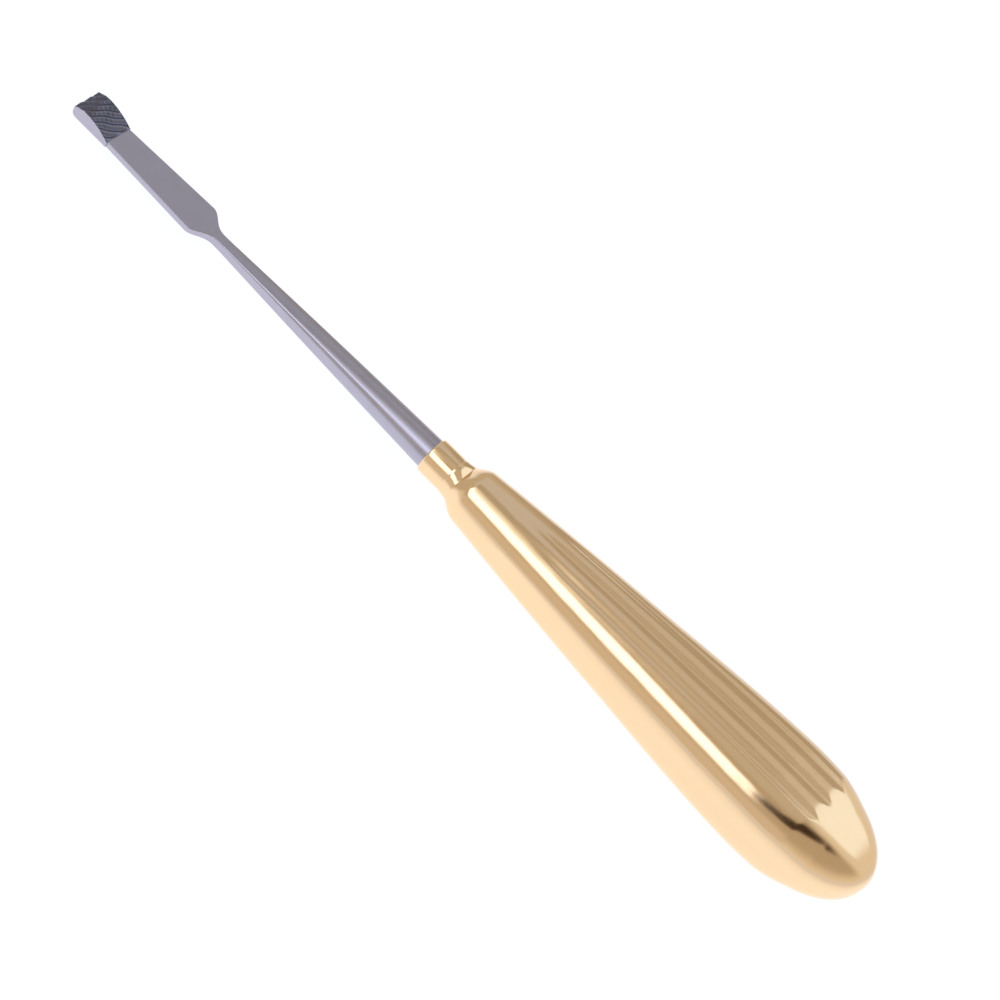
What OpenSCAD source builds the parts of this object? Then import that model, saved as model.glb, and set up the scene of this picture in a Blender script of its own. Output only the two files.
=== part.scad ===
// Bone file: a toothed steel head on a slim blade and a tapered shaft,
// brazed by its tang into a gilt, fluted, pear-shaped handle.
// It lies on the flutes of its underside, head towards -X and butt towards +X,
// tipped head down until its weight stands over the place where the curved belly touches.

/* [Toothed head] */
// Length of the toothed head
head_length = 10.2; // [8:0.1:13]
// Width of the toothed head
head_width = 7.5; // [6:0.1:10]
// Height of the crest of the teeth's arch above the flat back
head_height = 3.6; // [3:0.1:5]
// Height of the head's blunt front end above the flat back
nose_height = 2.7; // [1.6:0.1:2.9]
// Distance from the front end to the crest of the arch
crest_setback = 2.9; // [2:0.1:4.5]
// Radius of the rounded lower edge of the front end
nose_radius = 1.2; // [0.4:0.1:1.5]
// Distance from one row of teeth to the next
tooth_pitch = 1.45; // [1:0.05:2]
// Depth of the cut between two rows of teeth
tooth_depth = 0.38; // [0.1:0.02:0.6]
// Slant of the rows of teeth from straight across, in degrees
tooth_slant = 30; // [0:1:45]
// Distance between the notches that break up each row
notch_pitch = 1.1; // [0.8:0.05:2]

/* [Blade] */
// Length of the flat blade, from the head to its shoulders
blade_length = 24.6; // [15:0.1:40]
// Width of the blade where the head begins
blade_front_width = 7; // [5:0.1:7.4]
// Width of the blade at its shoulders
blade_width = 9.1; // [7:0.1:12]
// Thickness of the blade
blade_thickness = 1.45; // [0.8:0.05:2]
// Height of the blade's flat back above the shaft's axis
blade_rise = 0.15; // [0:0.05:0.8]

/* [Shaft] */
// Length of the shoulders, from the blade's full width to the neck
shoulder_length = 7; // [4:0.1:12]
// Width of the neck, the slimmest place of the shaft
neck_width = 2.6; // [2:0.1:4]
// Thickness of the neck
neck_thickness = 2.2; // [1.6:0.1:3.5]
// Length of the tapered shaft, from the neck to the handle
shaft_length = 62.6; // [40:0.2:90]
// Diameter of the shaft where it enters the handle
shaft_d = 7.3; // [6:0.1:7.6]
// Depth of the socket that takes the full shaft
socket_depth = 5; // [3:0.1:6.5]
// Diameter of the tang
tang_d = 4.5; // [3:0.1:5]
// Length of the tang beyond the full shaft
tang_length = 30; // [15:1:60]

/* [Collar] */
// Length of the collar, from its front edge to the waist behind it
collar_length = 8.7; // [8:0.1:12]
// Largest diameter of the collar
collar_d = 8.6; // [8.6:0.1:11]
// Diameter of the collar at its two ends
collar_end_d = 8.5; // [8.1:0.1:8.6]
// Radius of the collar's rounded front edge
collar_edge = 0.35; // [0.1:0.05:0.4]
// Thickness of the waist between the collar and the grip
waist_thickness = 7.4; // [6.6:0.1:8]
// Length over which the top and the underside of the collar round down to the waist
waist_length = 2.4; // [1:0.1:3]

/* [Grip] */
// Length of the grip, from the waist to the butt
grip_length = 115.9; // [95:0.1:130]
// Greatest width of the grip
grip_width = 27; // [22:0.5:32]
// Greatest thickness of the grip
grip_thickness = 20.8; // [17:0.2:26]
// Diameter of the grip's round front end
grip_front_d = 12.2; // [10:0.1:14]
// Length of the rounding of the grip's front shoulder
front_rounding = 3.7; // [2:0.1:5]
// Distance from the butt to the widest place
belly_from_butt = 26.7; // [20:0.1:35]
// Distance from the butt to the place where the top begins to fall away
fall_from_butt = 18.5; // [16:0.1:24]
// Distance from the butt to the tool's balance place, over which it comes to rest
balance_from_butt = 56; // [50:0.5:75]
// Radius of the grip's long rounded edges
edge_radius = 8.6; // [5:0.1:9]
// Depth of the hollow along each side of the grip
side_hollow = 0.35; // [0:0.05:0.8]
// Distance from the front of the grip to the arch where the side hollow begins
side_hollow_start = 12; // [8:0.5:30]

/* [Flutes] */
// Distance from ridge to ridge at the widest place
flute_pitch = 5.46; // [4.8:0.02:6.2]
// Depth of the flutes
flute_depth = 0.3; // [0:0.05:0.6]
// Distance from the front of the grip to the front of the middle flute
flute_start = 15; // [8:0.5:40]
// How much further back the outer flutes begin
flute_arc = 13; // [4:0.5:20]

/* [Fit] */
// Gap around the shaft and the tang, filled by the braze
braze_gap = 0.05; // [0.02:0.01:0.15]

/* [Hidden] */

// Places along the tool's axis: 0 is the collar's front edge, the head lies towards -X.
grip_start = collar_length;
barrel_end = collar_length - waist_length;
butt_end = grip_start + grip_length;
belly_x = butt_end - belly_from_butt;
fall_x = butt_end - fall_from_butt;
neck_x = -shaft_length;
shoulder_x = neck_x - shoulder_length;
head_rear = shoulder_x - blade_length;
head_front = head_rear - head_length;
crest_x = head_front + crest_setback;
blade_top = blade_rise + blade_thickness;

// Shape laws of the grip
taper_power = 1.4;
plan_power = 2.5;
fall_power = 1.2;
fall_root = 2.8;
round_front = 5;
round_fade = 20;
flute_fade = 12;
hollow_fade = 4;
hollow_top = 0.5;
flute_step = flute_pitch / (grip_thickness / 2);
last_ridge = 1.5 * flute_step;
least_flat = 0.06;

// Laws of the teeth: how far the rows wave, how many waves a row has, and how much the notches break them up
row_wave = 0.08;
row_waves = 1.6;
notch_share = 0.06;

// Fineness of the surfaces
flute_samples = 8;
side_samples = 14;
collar_rings = 6;
grip_rings = 34;
butt_rings = 14;
head_rings = 30;
top_samples = 24;
bottom_samples = 10;
edge_samples = 4;

// A smooth rise from 0 to 1 between the places from and to
function ease(from, to, x) =
    let (t = min(1, max(0, (x - from) / (to - from))))
    t * t * (3 - 2 * t);

// A value part of the way from a to b
function mix(a, b, t) = a + (b - a) * t;

// Size of the grip ahead of its belly: it swells from the round front to the belly
function swell(front, belly, x) =
    belly - (belly - front) * pow(max(0, (belly_x - x) / (belly_x - grip_start)), taper_power);

// Top and underside: a quarter of a wave down to the waist, and another up to the grip
function waisted(size, x) =
    x < grip_start
    ? mix(collar_end_d / 2, waist_thickness / 2, 1 - cos(90 * max(0, (x - barrel_end) / waist_length)))
    : mix(waist_thickness / 2, size, sin(90 * min(1, (x - grip_start) / front_rounding)));

// Sides: one smooth rise from the collar to the grip, with no waist
function swept(size, x) = mix(collar_end_d / 2, size, ease(barrel_end, grip_start + front_rounding, x));

// Half the width of the grip
function half_width(x) =
    let (u = max(0, (x - belly_x) / belly_from_butt))
    swept(swell(grip_front_d / 2, grip_width / 2, x), x) * sqrt(max(0, 1 - pow(u, plan_power)));

// Half the thickness of the grip with its flutes' ridges, as if it had no rounded butt
function ridge_height(x) = waisted(swell(grip_front_d / 2, grip_thickness / 2, x), x);

// Half the thickness of the grip
function half_thickness(x) =
    let (u = max(0, (x - fall_x) / fall_from_butt))
    ridge_height(x) * pow(max(0, 1 - pow(u, fall_power)), 1 / fall_root);

// Radius of the long edges: a full round at the front and at the butt's end
function edge_round(x) =
    let (
        least = min(half_width(x), half_thickness(x)) * (1 - least_flat),
        wide = mix(least, edge_radius, ease(grip_start + round_front, grip_start + round_front + round_fade, x))
    )
    min(least, max(wide, edge_radius));

// How far a ray from the axis runs until it meets a rounded rectangle of half sizes a and b
function reach(dy, dz, a, b, r) =
    let (
        y = abs(dy),
        z = abs(dz),
        to_top = b / max(z, 1e-9),
        to_side = a / max(y, 1e-9),
        along = y * (a - r) + z * (b - r),
        off = pow(a - r, 2) + pow(b - r, 2) - r * r
    )
    to_top * y <= a - r ? to_top
    : to_side * z <= b - r ? to_side
    : along + sqrt(max(0, along * along - off));

// Share of the full flute depth at a slope v, which is the width over the height of the ray
function flute_shape(v) =
    let (phase = v / flute_step - round(v / flute_step))
    abs(v) > last_ridge ? 0 : pow(cos(180 * phase), 4);

// Depth of the flutes at a place along the grip: the middle flute begins first
function flute_cut(x, v) =
    let (
        start = grip_start + flute_start + flute_arc * min(1, pow(v / (2 * flute_step), 2)),
        full = flute_depth * flute_shape(v) * ease(start, start + flute_fade, x)
    )
    max(0, full - (ridge_height(x) - half_thickness(x)));

// Depth of the side hollow, whose front edge is an arch
function hollow_cut(x, z) =
    let (
        share = min(1, abs(z) / max(0.1, half_thickness(x) - hollow_top * edge_radius)),
        start = grip_start + side_hollow_start + hollow_fade * share * share
    )
    side_hollow * pow(cos(90 * share), 2)
        * ease(start, start + hollow_fade, x)
        * (1 - ease(belly_x, butt_end, x));

// One point of the grip's surface
function grip_point(x, dy, dz) =
    let (
        t = reach(dy, dz, half_width(x), half_thickness(x), edge_round(x)),
        v = dy / max(abs(dz), 1e-9),
        y = t * dy,
        z = t * dz
    )
    [x, y - sign(y) * hollow_cut(x, z), z - sign(z) * flute_cut(x, v)];

// The rays of one ring: every flute has the same samples, and the sides share the rest
ring_tops = 3 * flute_samples;
side_angle = 90 - atan(last_ridge);
grip_rays = concat(
    [for (i = [0 : ring_tops - 1]) let (a = atan(mix(last_ridge, -last_ridge, i / ring_tops))) [sin(a), cos(a)]],
    [for (i = [0 : side_samples - 1]) let (a = mix(side_angle, -side_angle, i / side_samples)) [-cos(a), sin(a)]],
    [for (i = [0 : ring_tops - 1]) let (a = atan(mix(-last_ridge, last_ridge, i / ring_tops))) [sin(a), -cos(a)]],
    [for (i = [0 : side_samples - 1]) let (a = mix(-side_angle, side_angle, i / side_samples)) [cos(a), sin(a)]]
);

// Places of the rings: close together at the waist, in the front shoulder and towards the butt's end
waist_places = [for (i = [1 : 5]) mix(barrel_end, grip_start, i / 5)];
front_places = [for (i = [1 : 7]) grip_start + front_rounding * pow(i / 7, 1.3)];
body_places = [for (i = [1 : grip_rings]) mix(grip_start + front_rounding, belly_x, i / grip_rings)];
butt_places = [for (i = [1 : butt_rings]) belly_x + belly_from_butt * sin(90 * i / (butt_rings + 0.5))];
grip_places = concat(waist_places, front_places, body_places, butt_places);

// A closed solid through rings of points, each ring with the same number of points
module skin(rings, tip = []) {
    n = len(rings[0]);
    last = len(rings) - 1;
    points = concat([for (ring = rings) each ring], tip);
    walls = [
        for (i = [0 : last - 1])
        for (j = [0 : n - 1])
        let (k = (j + 1) % n)
        each [[i * n + k, i * n + j, (i + 1) * n + j], [i * n + k, (i + 1) * n + j, (i + 1) * n + k]]
    ];
    front = [[for (j = [0 : n - 1]) j]];
    back = len(tip) == 0
        ? [[for (j = [n - 1 : -1 : 0]) last * n + j]]
        : [for (j = [0 : n - 1]) [last * n + (j + 1) % n, last * n + j, (last + 1) * n]];
    polyhedron(points = points, faces = concat(front, walls, back), convexity = 6);
}

// The turned collar, as places and radii: its rounded front edge, then its barrel
collar_profile = concat(
    [for (a = [0, 30, 60]) [collar_edge * (1 - cos(a)), collar_end_d / 2 - collar_edge * (1 - sin(a))]],
    [
        for (i = [0 : collar_rings])
        let (t = 2 * i / collar_rings - 1)
        [mix(collar_edge, barrel_end, (t + 1) / 2), mix(collar_end_d, collar_d, 1 - t * t) / 2]
    ]
);

// The collar and the fluted grip behind it
module gilt_body() {
    collar = [for (place = collar_profile) [for (ray = grip_rays) [place[0], place[1] * ray[0], place[1] * ray[1]]]];
    grip = [for (x = grip_places) [for (ray = grip_rays) grip_point(x, ray[0], ray[1])]];
    skin(concat(collar, grip), [[butt_end, 0, 0]]);
}

// Turns a round piece to lie along the tool's axis
module along_axis(x) {
    translate([x, 0, 0]) rotate([0, 90, 0]) children();
}

// The socket for the full shaft and the deeper bore for its tang
module socket() {
    over = 1;
    along_axis(-over) cylinder(d = shaft_d + 2 * braze_gap, h = socket_depth + over, $fn = 64);
    along_axis(0) cylinder(d = tang_d + 2 * braze_gap, h = socket_depth + tang_length + braze_gap, $fn = 64);
}

// Height of the arch of teeth above the shaft's axis, before the teeth are cut
function arch_height(x) =
    x < crest_x
    ? blade_rise + mix(nose_height, head_height, sin(90 * (x - head_front) / crest_setback))
    : mix(blade_top, blade_rise + head_height, 1 - pow((x - crest_x) / (head_rear - crest_x), 2));

// A row of teeth: a smooth wave with a steep front and a long back, as a share of the full depth
function tooth_shape(s) = let (t = s - floor(s)) 0.5 + 0.5 * cos(360 * pow(t, 0.75));

// How deep the teeth are cut at one place of the head, in slanted rows that wave a little
function tooth_cut(x, y) =
    let (
        row = (x * cos(tooth_slant) - y * sin(tooth_slant)) / tooth_pitch,
        wave = row_wave * sin(360 * (row_waves * y / head_width + row / 3)),
        notch = pow(sin(180 * (y + x / 3) / notch_pitch), 2),
        ends = ease(0, tooth_pitch / 2, head_rear - x)
    )
    tooth_depth * ends * mix(tooth_shape(row + wave), notch, notch_share);

// Half the width of the blade, its shoulders and the tapered shaft
function steel_half_width(x) =
    x < shoulder_x ? mix(blade_front_width, blade_width, (x - head_rear) / blade_length) / 2
    : x < neck_x ? mix(blade_width, neck_width, shoulder_curve((x - shoulder_x) / shoulder_length)) / 2
    : mix(neck_width, shaft_d, (x - neck_x) / shaft_length) / 2;

// The shoulder's outline: a small round, a straight slope and a long fillet into the neck
function shoulder_curve(t) = 1 - pow(1 - t * t, 4);

// Top and bottom of the blade, the shoulders and the shaft
function steel_top(x) =
    x < neck_x ? blade_top : mix(blade_top, shaft_d / 2, (x - neck_x) / shaft_length);
function steel_bottom(x) =
    x < shoulder_x ? blade_rise
    : x < neck_x ? mix(blade_rise, blade_top - neck_thickness, ease(shoulder_x, neck_x, x))
    : mix(blade_top - neck_thickness, -shaft_d / 2, (x - neck_x) / shaft_length);

// How round the section is: square up to the neck, then rounder until it is a circle at the handle
function roundness(x) = x < neck_x ? 0.04 : mix(0.12, 1, min(1, pow((x - neck_x) / shaft_length, 0.6)));

// Corner places on a unit circle and on a unit square, walked round with the same number of points
top_angle = 48;
low_angle = -42;
function walk(n, from, to) = [for (i = [0 : n - 1]) mix(from, to, i / n)];
circle_walk = concat(
    walk(top_samples, top_angle, 180 - top_angle),
    walk(edge_samples, 180 - top_angle, 180 - low_angle),
    walk(bottom_samples, 180 - low_angle, 360 + low_angle),
    walk(edge_samples, low_angle, top_angle)
);
square_walk = concat(
    [for (t = walk(top_samples, 1, -1)) [t, 1]],
    [for (t = walk(edge_samples, 1, -1)) [-1, t]],
    [for (t = walk(bottom_samples, -1, 1)) [t, -1]],
    [for (t = walk(edge_samples, -1, 1)) [1, t]]
);

// One ring of the steel, given its half width, its bottom, its top and its roundness
function steel_ring(x, a, low, high, f) =
    let (middle = (low + high) / 2, b = (high - low) / 2)
    [
        for (i = [0 : len(square_walk) - 1])
        let (
            y = a * mix(square_walk[i][0], cos(circle_walk[i]), f),
            z = b * mix(square_walk[i][1], sin(circle_walk[i]), f)
        )
        [x, y, middle + z]
    ];

// One ring of the head, with the teeth cut into its top
function head_ring(x) =
    let (
        from_front = x - head_front,
        lift = nose_radius - sqrt(max(0, pow(nose_radius, 2) - pow(max(0, nose_radius - from_front), 2)))
    )
    [
        for (point = steel_ring(x, head_width / 2, blade_rise + lift, arch_height(x), 0.01))
        let (is_top = point[2] > arch_height(x) - 0.1)
        [x, point[1], point[2] - (is_top ? tooth_cut(x, point[1]) : 0)]
    ];

// The toothed head, the blade, the shoulders and the tapered shaft
module forged_steel() {
    step_behind_head = 0.05;
    in_socket = 0.5;
    slimmer = 0.04;
    head_places = [for (i = [0 : head_rings]) mix(head_front, head_rear, i / head_rings)];
    blade_places = [for (i = [0 : 4]) mix(head_rear + step_behind_head, shoulder_x, i / 4)];
    shoulder_places = [for (i = [1 : 14]) mix(shoulder_x, neck_x, i / 14)];
    shaft_places = [for (i = [1 : 12]) mix(neck_x, in_socket, i / 12)];
    head = [for (x = head_places) head_ring(x)];
    shaft = [
        for (x = concat(blade_places, shoulder_places, shaft_places))
        let (inset = slimmer * ease(-in_socket, 0, x))
        steel_ring(x, steel_half_width(x) - inset, steel_bottom(x) + inset, steel_top(x) - inset, roundness(x))
    ];
    skin(concat(head, shaft));
}

// The round end of the shaft and its tang, turned as one profile
module tang() {
    tang_end = socket_depth + tang_length;
    along_axis(0)
        rotate_extrude($fn = 64)
        polygon([
            [0, 0],
            [shaft_d / 2, 0],
            [shaft_d / 2, socket_depth],
            [tang_d / 2, socket_depth],
            [tang_d / 2, tang_end],
            [0, tang_end]
        ]);
}

// The tool at rest: tipped head down by the slope of its underside at the balance place
rest_slope = (grip_thickness - grip_front_d) / 2 * taper_power / (belly_x - grip_start)
    * pow((balance_from_butt - belly_from_butt) / (belly_x - grip_start), taper_power - 1);
rest_tilt = atan(rest_slope);
rest_height = max([for (x = grip_places) half_thickness(x) * cos(rest_tilt) - x * sin(rest_tilt)]);
module at_rest() {
    translate([-(head_front + butt_end) / 2, 0, rest_height]) rotate([0, -rest_tilt, 0]) children();
}

// Gilt handle with its collar, in one piece
module handle() {
    color("#d9b26a")
        at_rest()
        difference() {
            gilt_body();
            socket();
        }
}

// Forged steel file with its shaft and tang, in one piece
module file_shaft() {
    color("#8b8a9e")
        at_rest()
        union() {
            forged_steel();
            tang();
        }
}

handle();
file_shaft();
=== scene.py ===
"""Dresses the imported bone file: a gilt, fluted handle and a satin steel file, lying in a light tent."""

import math

import bpy
import numpy as np
from bpy.props import FloatProperty, FloatVectorProperty, PointerProperty
from mathutils import Matrix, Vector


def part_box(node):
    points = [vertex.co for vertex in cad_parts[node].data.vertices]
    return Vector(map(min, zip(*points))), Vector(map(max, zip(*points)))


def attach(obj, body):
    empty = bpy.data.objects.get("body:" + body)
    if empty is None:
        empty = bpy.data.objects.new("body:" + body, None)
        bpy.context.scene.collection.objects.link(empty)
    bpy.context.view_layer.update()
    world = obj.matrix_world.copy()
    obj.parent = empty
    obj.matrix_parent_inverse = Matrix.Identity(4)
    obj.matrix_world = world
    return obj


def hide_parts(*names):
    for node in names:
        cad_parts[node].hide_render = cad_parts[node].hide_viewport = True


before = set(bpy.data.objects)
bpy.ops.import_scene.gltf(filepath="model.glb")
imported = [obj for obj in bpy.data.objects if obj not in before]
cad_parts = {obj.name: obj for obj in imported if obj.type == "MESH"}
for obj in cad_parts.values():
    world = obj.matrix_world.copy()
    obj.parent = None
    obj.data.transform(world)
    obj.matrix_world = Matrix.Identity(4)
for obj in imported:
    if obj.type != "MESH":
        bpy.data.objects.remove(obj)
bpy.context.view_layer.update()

bl_info = {
    "name": "Bone file",
    "version": (1, 0, 0),
    "blender": (4, 5, 0),
    "location": "3D View > Sidebar > Bone file",
    "description": "Builds the gilt handle, the toothed steel file and the light tent around them",
    "category": "Object",
}

# Shape laws of the grip, as in the part's source; lengths are in metres
TAPER_POWER = 1.4  # swell of the grip towards its belly
PLAN_POWER = 2.5  # roundness of the butt, seen from above
FALL_POWER = 1.2  # roundness of the butt from the side, where its top begins to fall
FALL_ROOT = 2.8  # the same at the butt's end
ROUND_FRONT = 0.005  # length behind the collar where the edges are fully round
ROUND_FADE = 0.020  # length over which they come to the edge radius
FLUTE_FADE = 0.012  # length over which a flute comes to its depth
HOLLOW_FADE = 0.004  # length over which the side hollow comes to its depth
LAST_RIDGE = 1.5  # place of the outermost ridge, in flute steps from the middle
LEAST_FLAT = 0.06  # least share of a section that stays flat
HOLLOW_TOP = 0.5  # distance from the top to the side hollow, in edge radii
BRUSHED_END = 1.15  # slope where the flutes' brushed finish ends, in outermost ridges

# Shape laws of the steel, as in the part's source
ROW_WAVE = 0.08  # sway of a row of teeth, in tooth pitches
ROW_WAVES = 1.6  # number of sways across the head
NOTCH_SHARE = 0.06  # share of the tooth depth that is notches
TOOTH_LEAN = 0.75  # power that makes the front of a tooth steeper than its back
SHOULDER_POWER = 4  # how early the shoulders narrow
SHAFT_ROUND_POWER = 0.6  # how early the shaft becomes round
NECK_ROUNDNESS = 0.12  # roundness of the shaft's section at the neck
EDGE_SHARE = 0.4  # greatest radius of an edge, as a share of the thickness there

# Points round a section, and rings along each stretch
FACE_POINTS = 90
SIDE_POINTS = 64
MOUTH_RINGS = 8
BARREL_RINGS = 24
WAIST_RINGS = 14
FRONT_RINGS = 24
BODY_RINGS = 150
BUTT_RINGS = 86
REST_SAMPLES = 4000
TOP_POINTS = 96
CORNER_POINTS = 8
FLANK_POINTS = 6
UNDER_POINTS = 30
HEAD_RINGS = 230
BLADE_RINGS = 30
SHOULDER_RINGS = 46
SHAFT_RINGS = 110
FRONT_CROWDING = 1.3  # power that crowds the rings at the grip's front
HEAD_JOIN = 0.00005  # metres between the head's last ring and the blade's first
MOUTH_JOIN = 0.0005  # metres between the shaft's last tapered ring and the socket
SMALL = 0.0001  # metres between two rings at a step, and where a length mustn't be 0
TINY = 1e-9  # keeps a divisor above 0

# Scales of the patterns on the metals, in waves per metre
GOLD_SWELL, GOLD_HAIRS, GOLD_SMEAR, GOLD_TONE = 130.0, 5200.0, 210.0, 60.0
STEEL_GRAIN, STEEL_CLOUD, STEEL_GLINTS, STEEL_STAIN = 9000.0, 260.0, 420.0, 330.0

# The studio
AIM = (0.01726, 0.0, 0.005008)  # metres from the collar's front edge to where the camera looks
SENSOR_WIDTH = 36  # millimetres
VIEW_START, VIEW_END = 0.01, 50  # metres
FLOOR_HALF = 6  # metres
TENT_SIDES, TENT_ROWS, TENT_FOOT = 96, 32, -0.05  # panels round and up, and the foot's angle in radians
TOOL_HALF = 0.11  # metres from the middle to each end of the tool
PAPER_GLOW = (0.98, 1.0, 1.07)
PAPER_COLOUR = (0.88, 0.88, 0.95)
TENT_DULL = (0.82, 0.8, 0.78)
TENT_BASE = (0.80, 0.74, 0.66)
WORLD_DULL = 0.6  # the world's level for dull surfaces; it is 1 for what sees it


def length(name, description, default):
    """A size in metres with its words for the panel."""
    return FloatProperty(
        name=name, description=description, default=default, min=0.0, unit="LENGTH", precision=5
    )


def angle(name, description, degrees):
    """An angle with its words for the panel, given here in degrees."""
    return FloatProperty(name=name, description=description, default=math.radians(degrees), subtype="ANGLE")


def factor(name, description, default):
    """A number from 0 to 1 with its words for the panel."""
    return FloatProperty(name=name, description=description, default=default, subtype="FACTOR", min=0, max=1)


def tint(name, description, default):
    """A colour with its words for the panel."""
    return FloatVectorProperty(
        name=name, description=description, default=default, subtype="COLOR", min=0, max=1
    )


class BONEFILE_PG_handle(bpy.types.PropertyGroup):
    """Sizes of the collar and the grip."""

    collar_length: length("Collar length", "Length of the collar with the waist behind it", 0.0087)
    collar_d: length("Collar width", "Diameter of the collar's barrel at its middle", 0.0086)
    collar_end_d: length("Collar end width", "Diameter of the barrel at its two ends", 0.0085)
    collar_edge: length("Collar edge", "Radius of the round at the collar's mouth", 0.00035)
    waist_thickness: length("Waist thickness", "Thickness between the collar and the grip", 0.0074)
    waist_length: length("Waist length", "Length over which the collar rounds down to the waist", 0.0024)
    grip_length: length("Grip length", "Length of the fluted grip", 0.1159)
    grip_width: length("Grip width", "Greatest width of the grip", 0.027)
    grip_thickness: length("Grip thickness", "Greatest thickness of the grip", 0.0208)
    grip_front_d: length("Grip front width", "Width of the grip behind its front shoulder", 0.0122)
    front_rounding: length("Front shoulder", "Length of the round front shoulder", 0.0037)
    belly_from_butt: length("Belly from the butt", "Distance from the butt to the widest place", 0.0267)
    fall_from_butt: length("Fall from the butt", "Distance from the butt to where the top falls", 0.0185)
    balance_from_butt: length("Balance from the butt", "Distance from the butt to where it rests", 0.056)
    edge_radius: length("Edge radius", "Radius of the grip's long edges", 0.0086)
    side_hollow: length("Side hollow", "Depth of the hollow along each side", 0.00035)
    side_hollow_start: length("Hollow start", "Distance behind the collar to the hollow's start", 0.012)
    flute_pitch: length("Flute pitch", "Distance between two flutes at the belly", 0.00546)
    flute_depth: length("Flute depth", "Depth of a flute", 0.0003)
    flute_start: length("Flute start", "Distance behind the collar to the middle flute's start", 0.015)
    flute_arc: length("Flute arc", "How much later the outer flutes begin", 0.013)
    braze_gap: length("Braze gap", "Gap around the shaft and the tang", 0.00005)


class BONEFILE_PG_steel(bpy.types.PropertyGroup):
    """Sizes of the toothed head, the blade, the shaft and the tang."""

    head_length: length("Head length", "Length of the toothed head", 0.0102)
    head_width: length("Head width", "Width of the toothed head", 0.0075)
    head_height: length("Head height", "Height of the arch of teeth at its crest", 0.0036)
    nose_height: length("Nose height", "Height of the arch at the front edge", 0.0027)
    crest_setback: length("Crest setback", "Distance from the front edge to the crest", 0.0029)
    nose_radius: length("Nose radius", "Radius of the lower front edge", 0.0012)
    tooth_pitch: length("Tooth pitch", "Distance between two rows of teeth", 0.00145)
    tooth_depth: length("Tooth depth", "Depth of the teeth", 0.00038)
    notch_pitch: length("Notch pitch", "Distance between the notches along a row", 0.0011)
    tooth_slant: angle("Tooth slant", "Angle of the rows of teeth", 30)
    blade_length: length("Blade length", "Length of the flat blade", 0.0246)
    blade_front_width: length("Blade front width", "Width of the blade behind the head", 0.007)
    blade_width: length("Blade width", "Width of the blade at its shoulders", 0.0091)
    blade_thickness: length("Blade thickness", "Thickness of the blade", 0.00145)
    blade_rise: length("Blade rise", "Height of the blade's underside above the axis", 0.00015)
    blade_edge: length("Edge round", "Radius of the rounded edges of the blade and the shaft", 0.00016)
    shoulder_length: length("Shoulder length", "Length of the shoulders behind the blade", 0.007)
    neck_width: length("Neck width", "Width of the shaft's thin end", 0.0026)
    neck_thickness: length("Neck thickness", "Thickness of the shaft's thin end", 0.0022)
    shaft_length: length("Shaft length", "Length of the tapered shaft", 0.0626)
    shaft_d: length("Shaft width", "Diameter of the shaft at the handle", 0.0073)
    socket_depth: length("Socket depth", "Depth of the full shaft in the handle", 0.005)
    tang_d: length("Tang width", "Diameter of the tang", 0.0045)
    tang_length: length("Tang length", "Length of the tang behind the shaft", 0.030)


class BONEFILE_PG_finish(bpy.types.PropertyGroup):
    """Colours and polish of the two metals."""

    gold: tint("Gold", "Colour of the gilding", (0.927, 0.674, 0.408))
    gold_roughness: factor("Gold roughness", "Roughness of the polished gilding", 0.13)
    steel: tint("Steel", "Colour of the satin steel", (0.455, 0.437, 0.505))
    steel_roughness: factor("Steel roughness", "Roughness of the satin steel", 0.28)
    teeth: tint("Teeth", "Colour of the dark toothed face", (0.15, 0.142, 0.2))


class BONEFILE_PG_studio(bpy.types.PropertyGroup):
    """The camera and the light tent."""

    distance: length("Camera distance", "Distance from the camera to what it aims at", 0.6)
    elevation: angle("Elevation", "Camera's height angle", 48)
    azimuth: angle("Azimuth", "Camera's angle round the tool", 10)
    roll: angle("Roll", "Turn of the camera about its own line of sight", 37.407)
    lens: FloatProperty(name="Lens", description="Focal length in millimetres", default=105.78)
    tent_radius: length("Tent radius", "Radius of the light tent", 1.2)
    key_strength: FloatProperty(name="Softbox", description="Brightness of the softbox", default=2.0)


def mix(a, b, t):
    """The value a share t of the way from a to b."""
    return a + (b - a) * t


def ease(start, end, x):
    """A smooth rise from 0 to 1 between start and end: 3t squared less 2t cubed."""
    t = np.clip((x - start) / (end - start), 0, 1)
    return t * t * (3 - 2 * t)


def stretches(*spans):
    """Evenly spaced numbers along one span (start, end, count) after another, each without its end."""
    return np.concatenate([np.linspace(start, end, count, endpoint=False) for start, end, count in spans])


class Places:
    """Places along the tool's axis: 0 is the collar's front edge and the head lies towards -X."""

    def __init__(self, h, s):
        self.grip_start = h.collar_length
        self.barrel_end = h.collar_length - h.waist_length
        self.butt_end = self.grip_start + h.grip_length
        self.belly = self.butt_end - h.belly_from_butt
        self.fall = self.butt_end - h.fall_from_butt
        self.neck = -s.shaft_length
        self.shoulder = self.neck - s.shoulder_length
        self.head_rear = self.shoulder - s.blade_length
        self.head_front = self.head_rear - s.head_length
        self.crest = self.head_front + s.crest_setback


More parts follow.
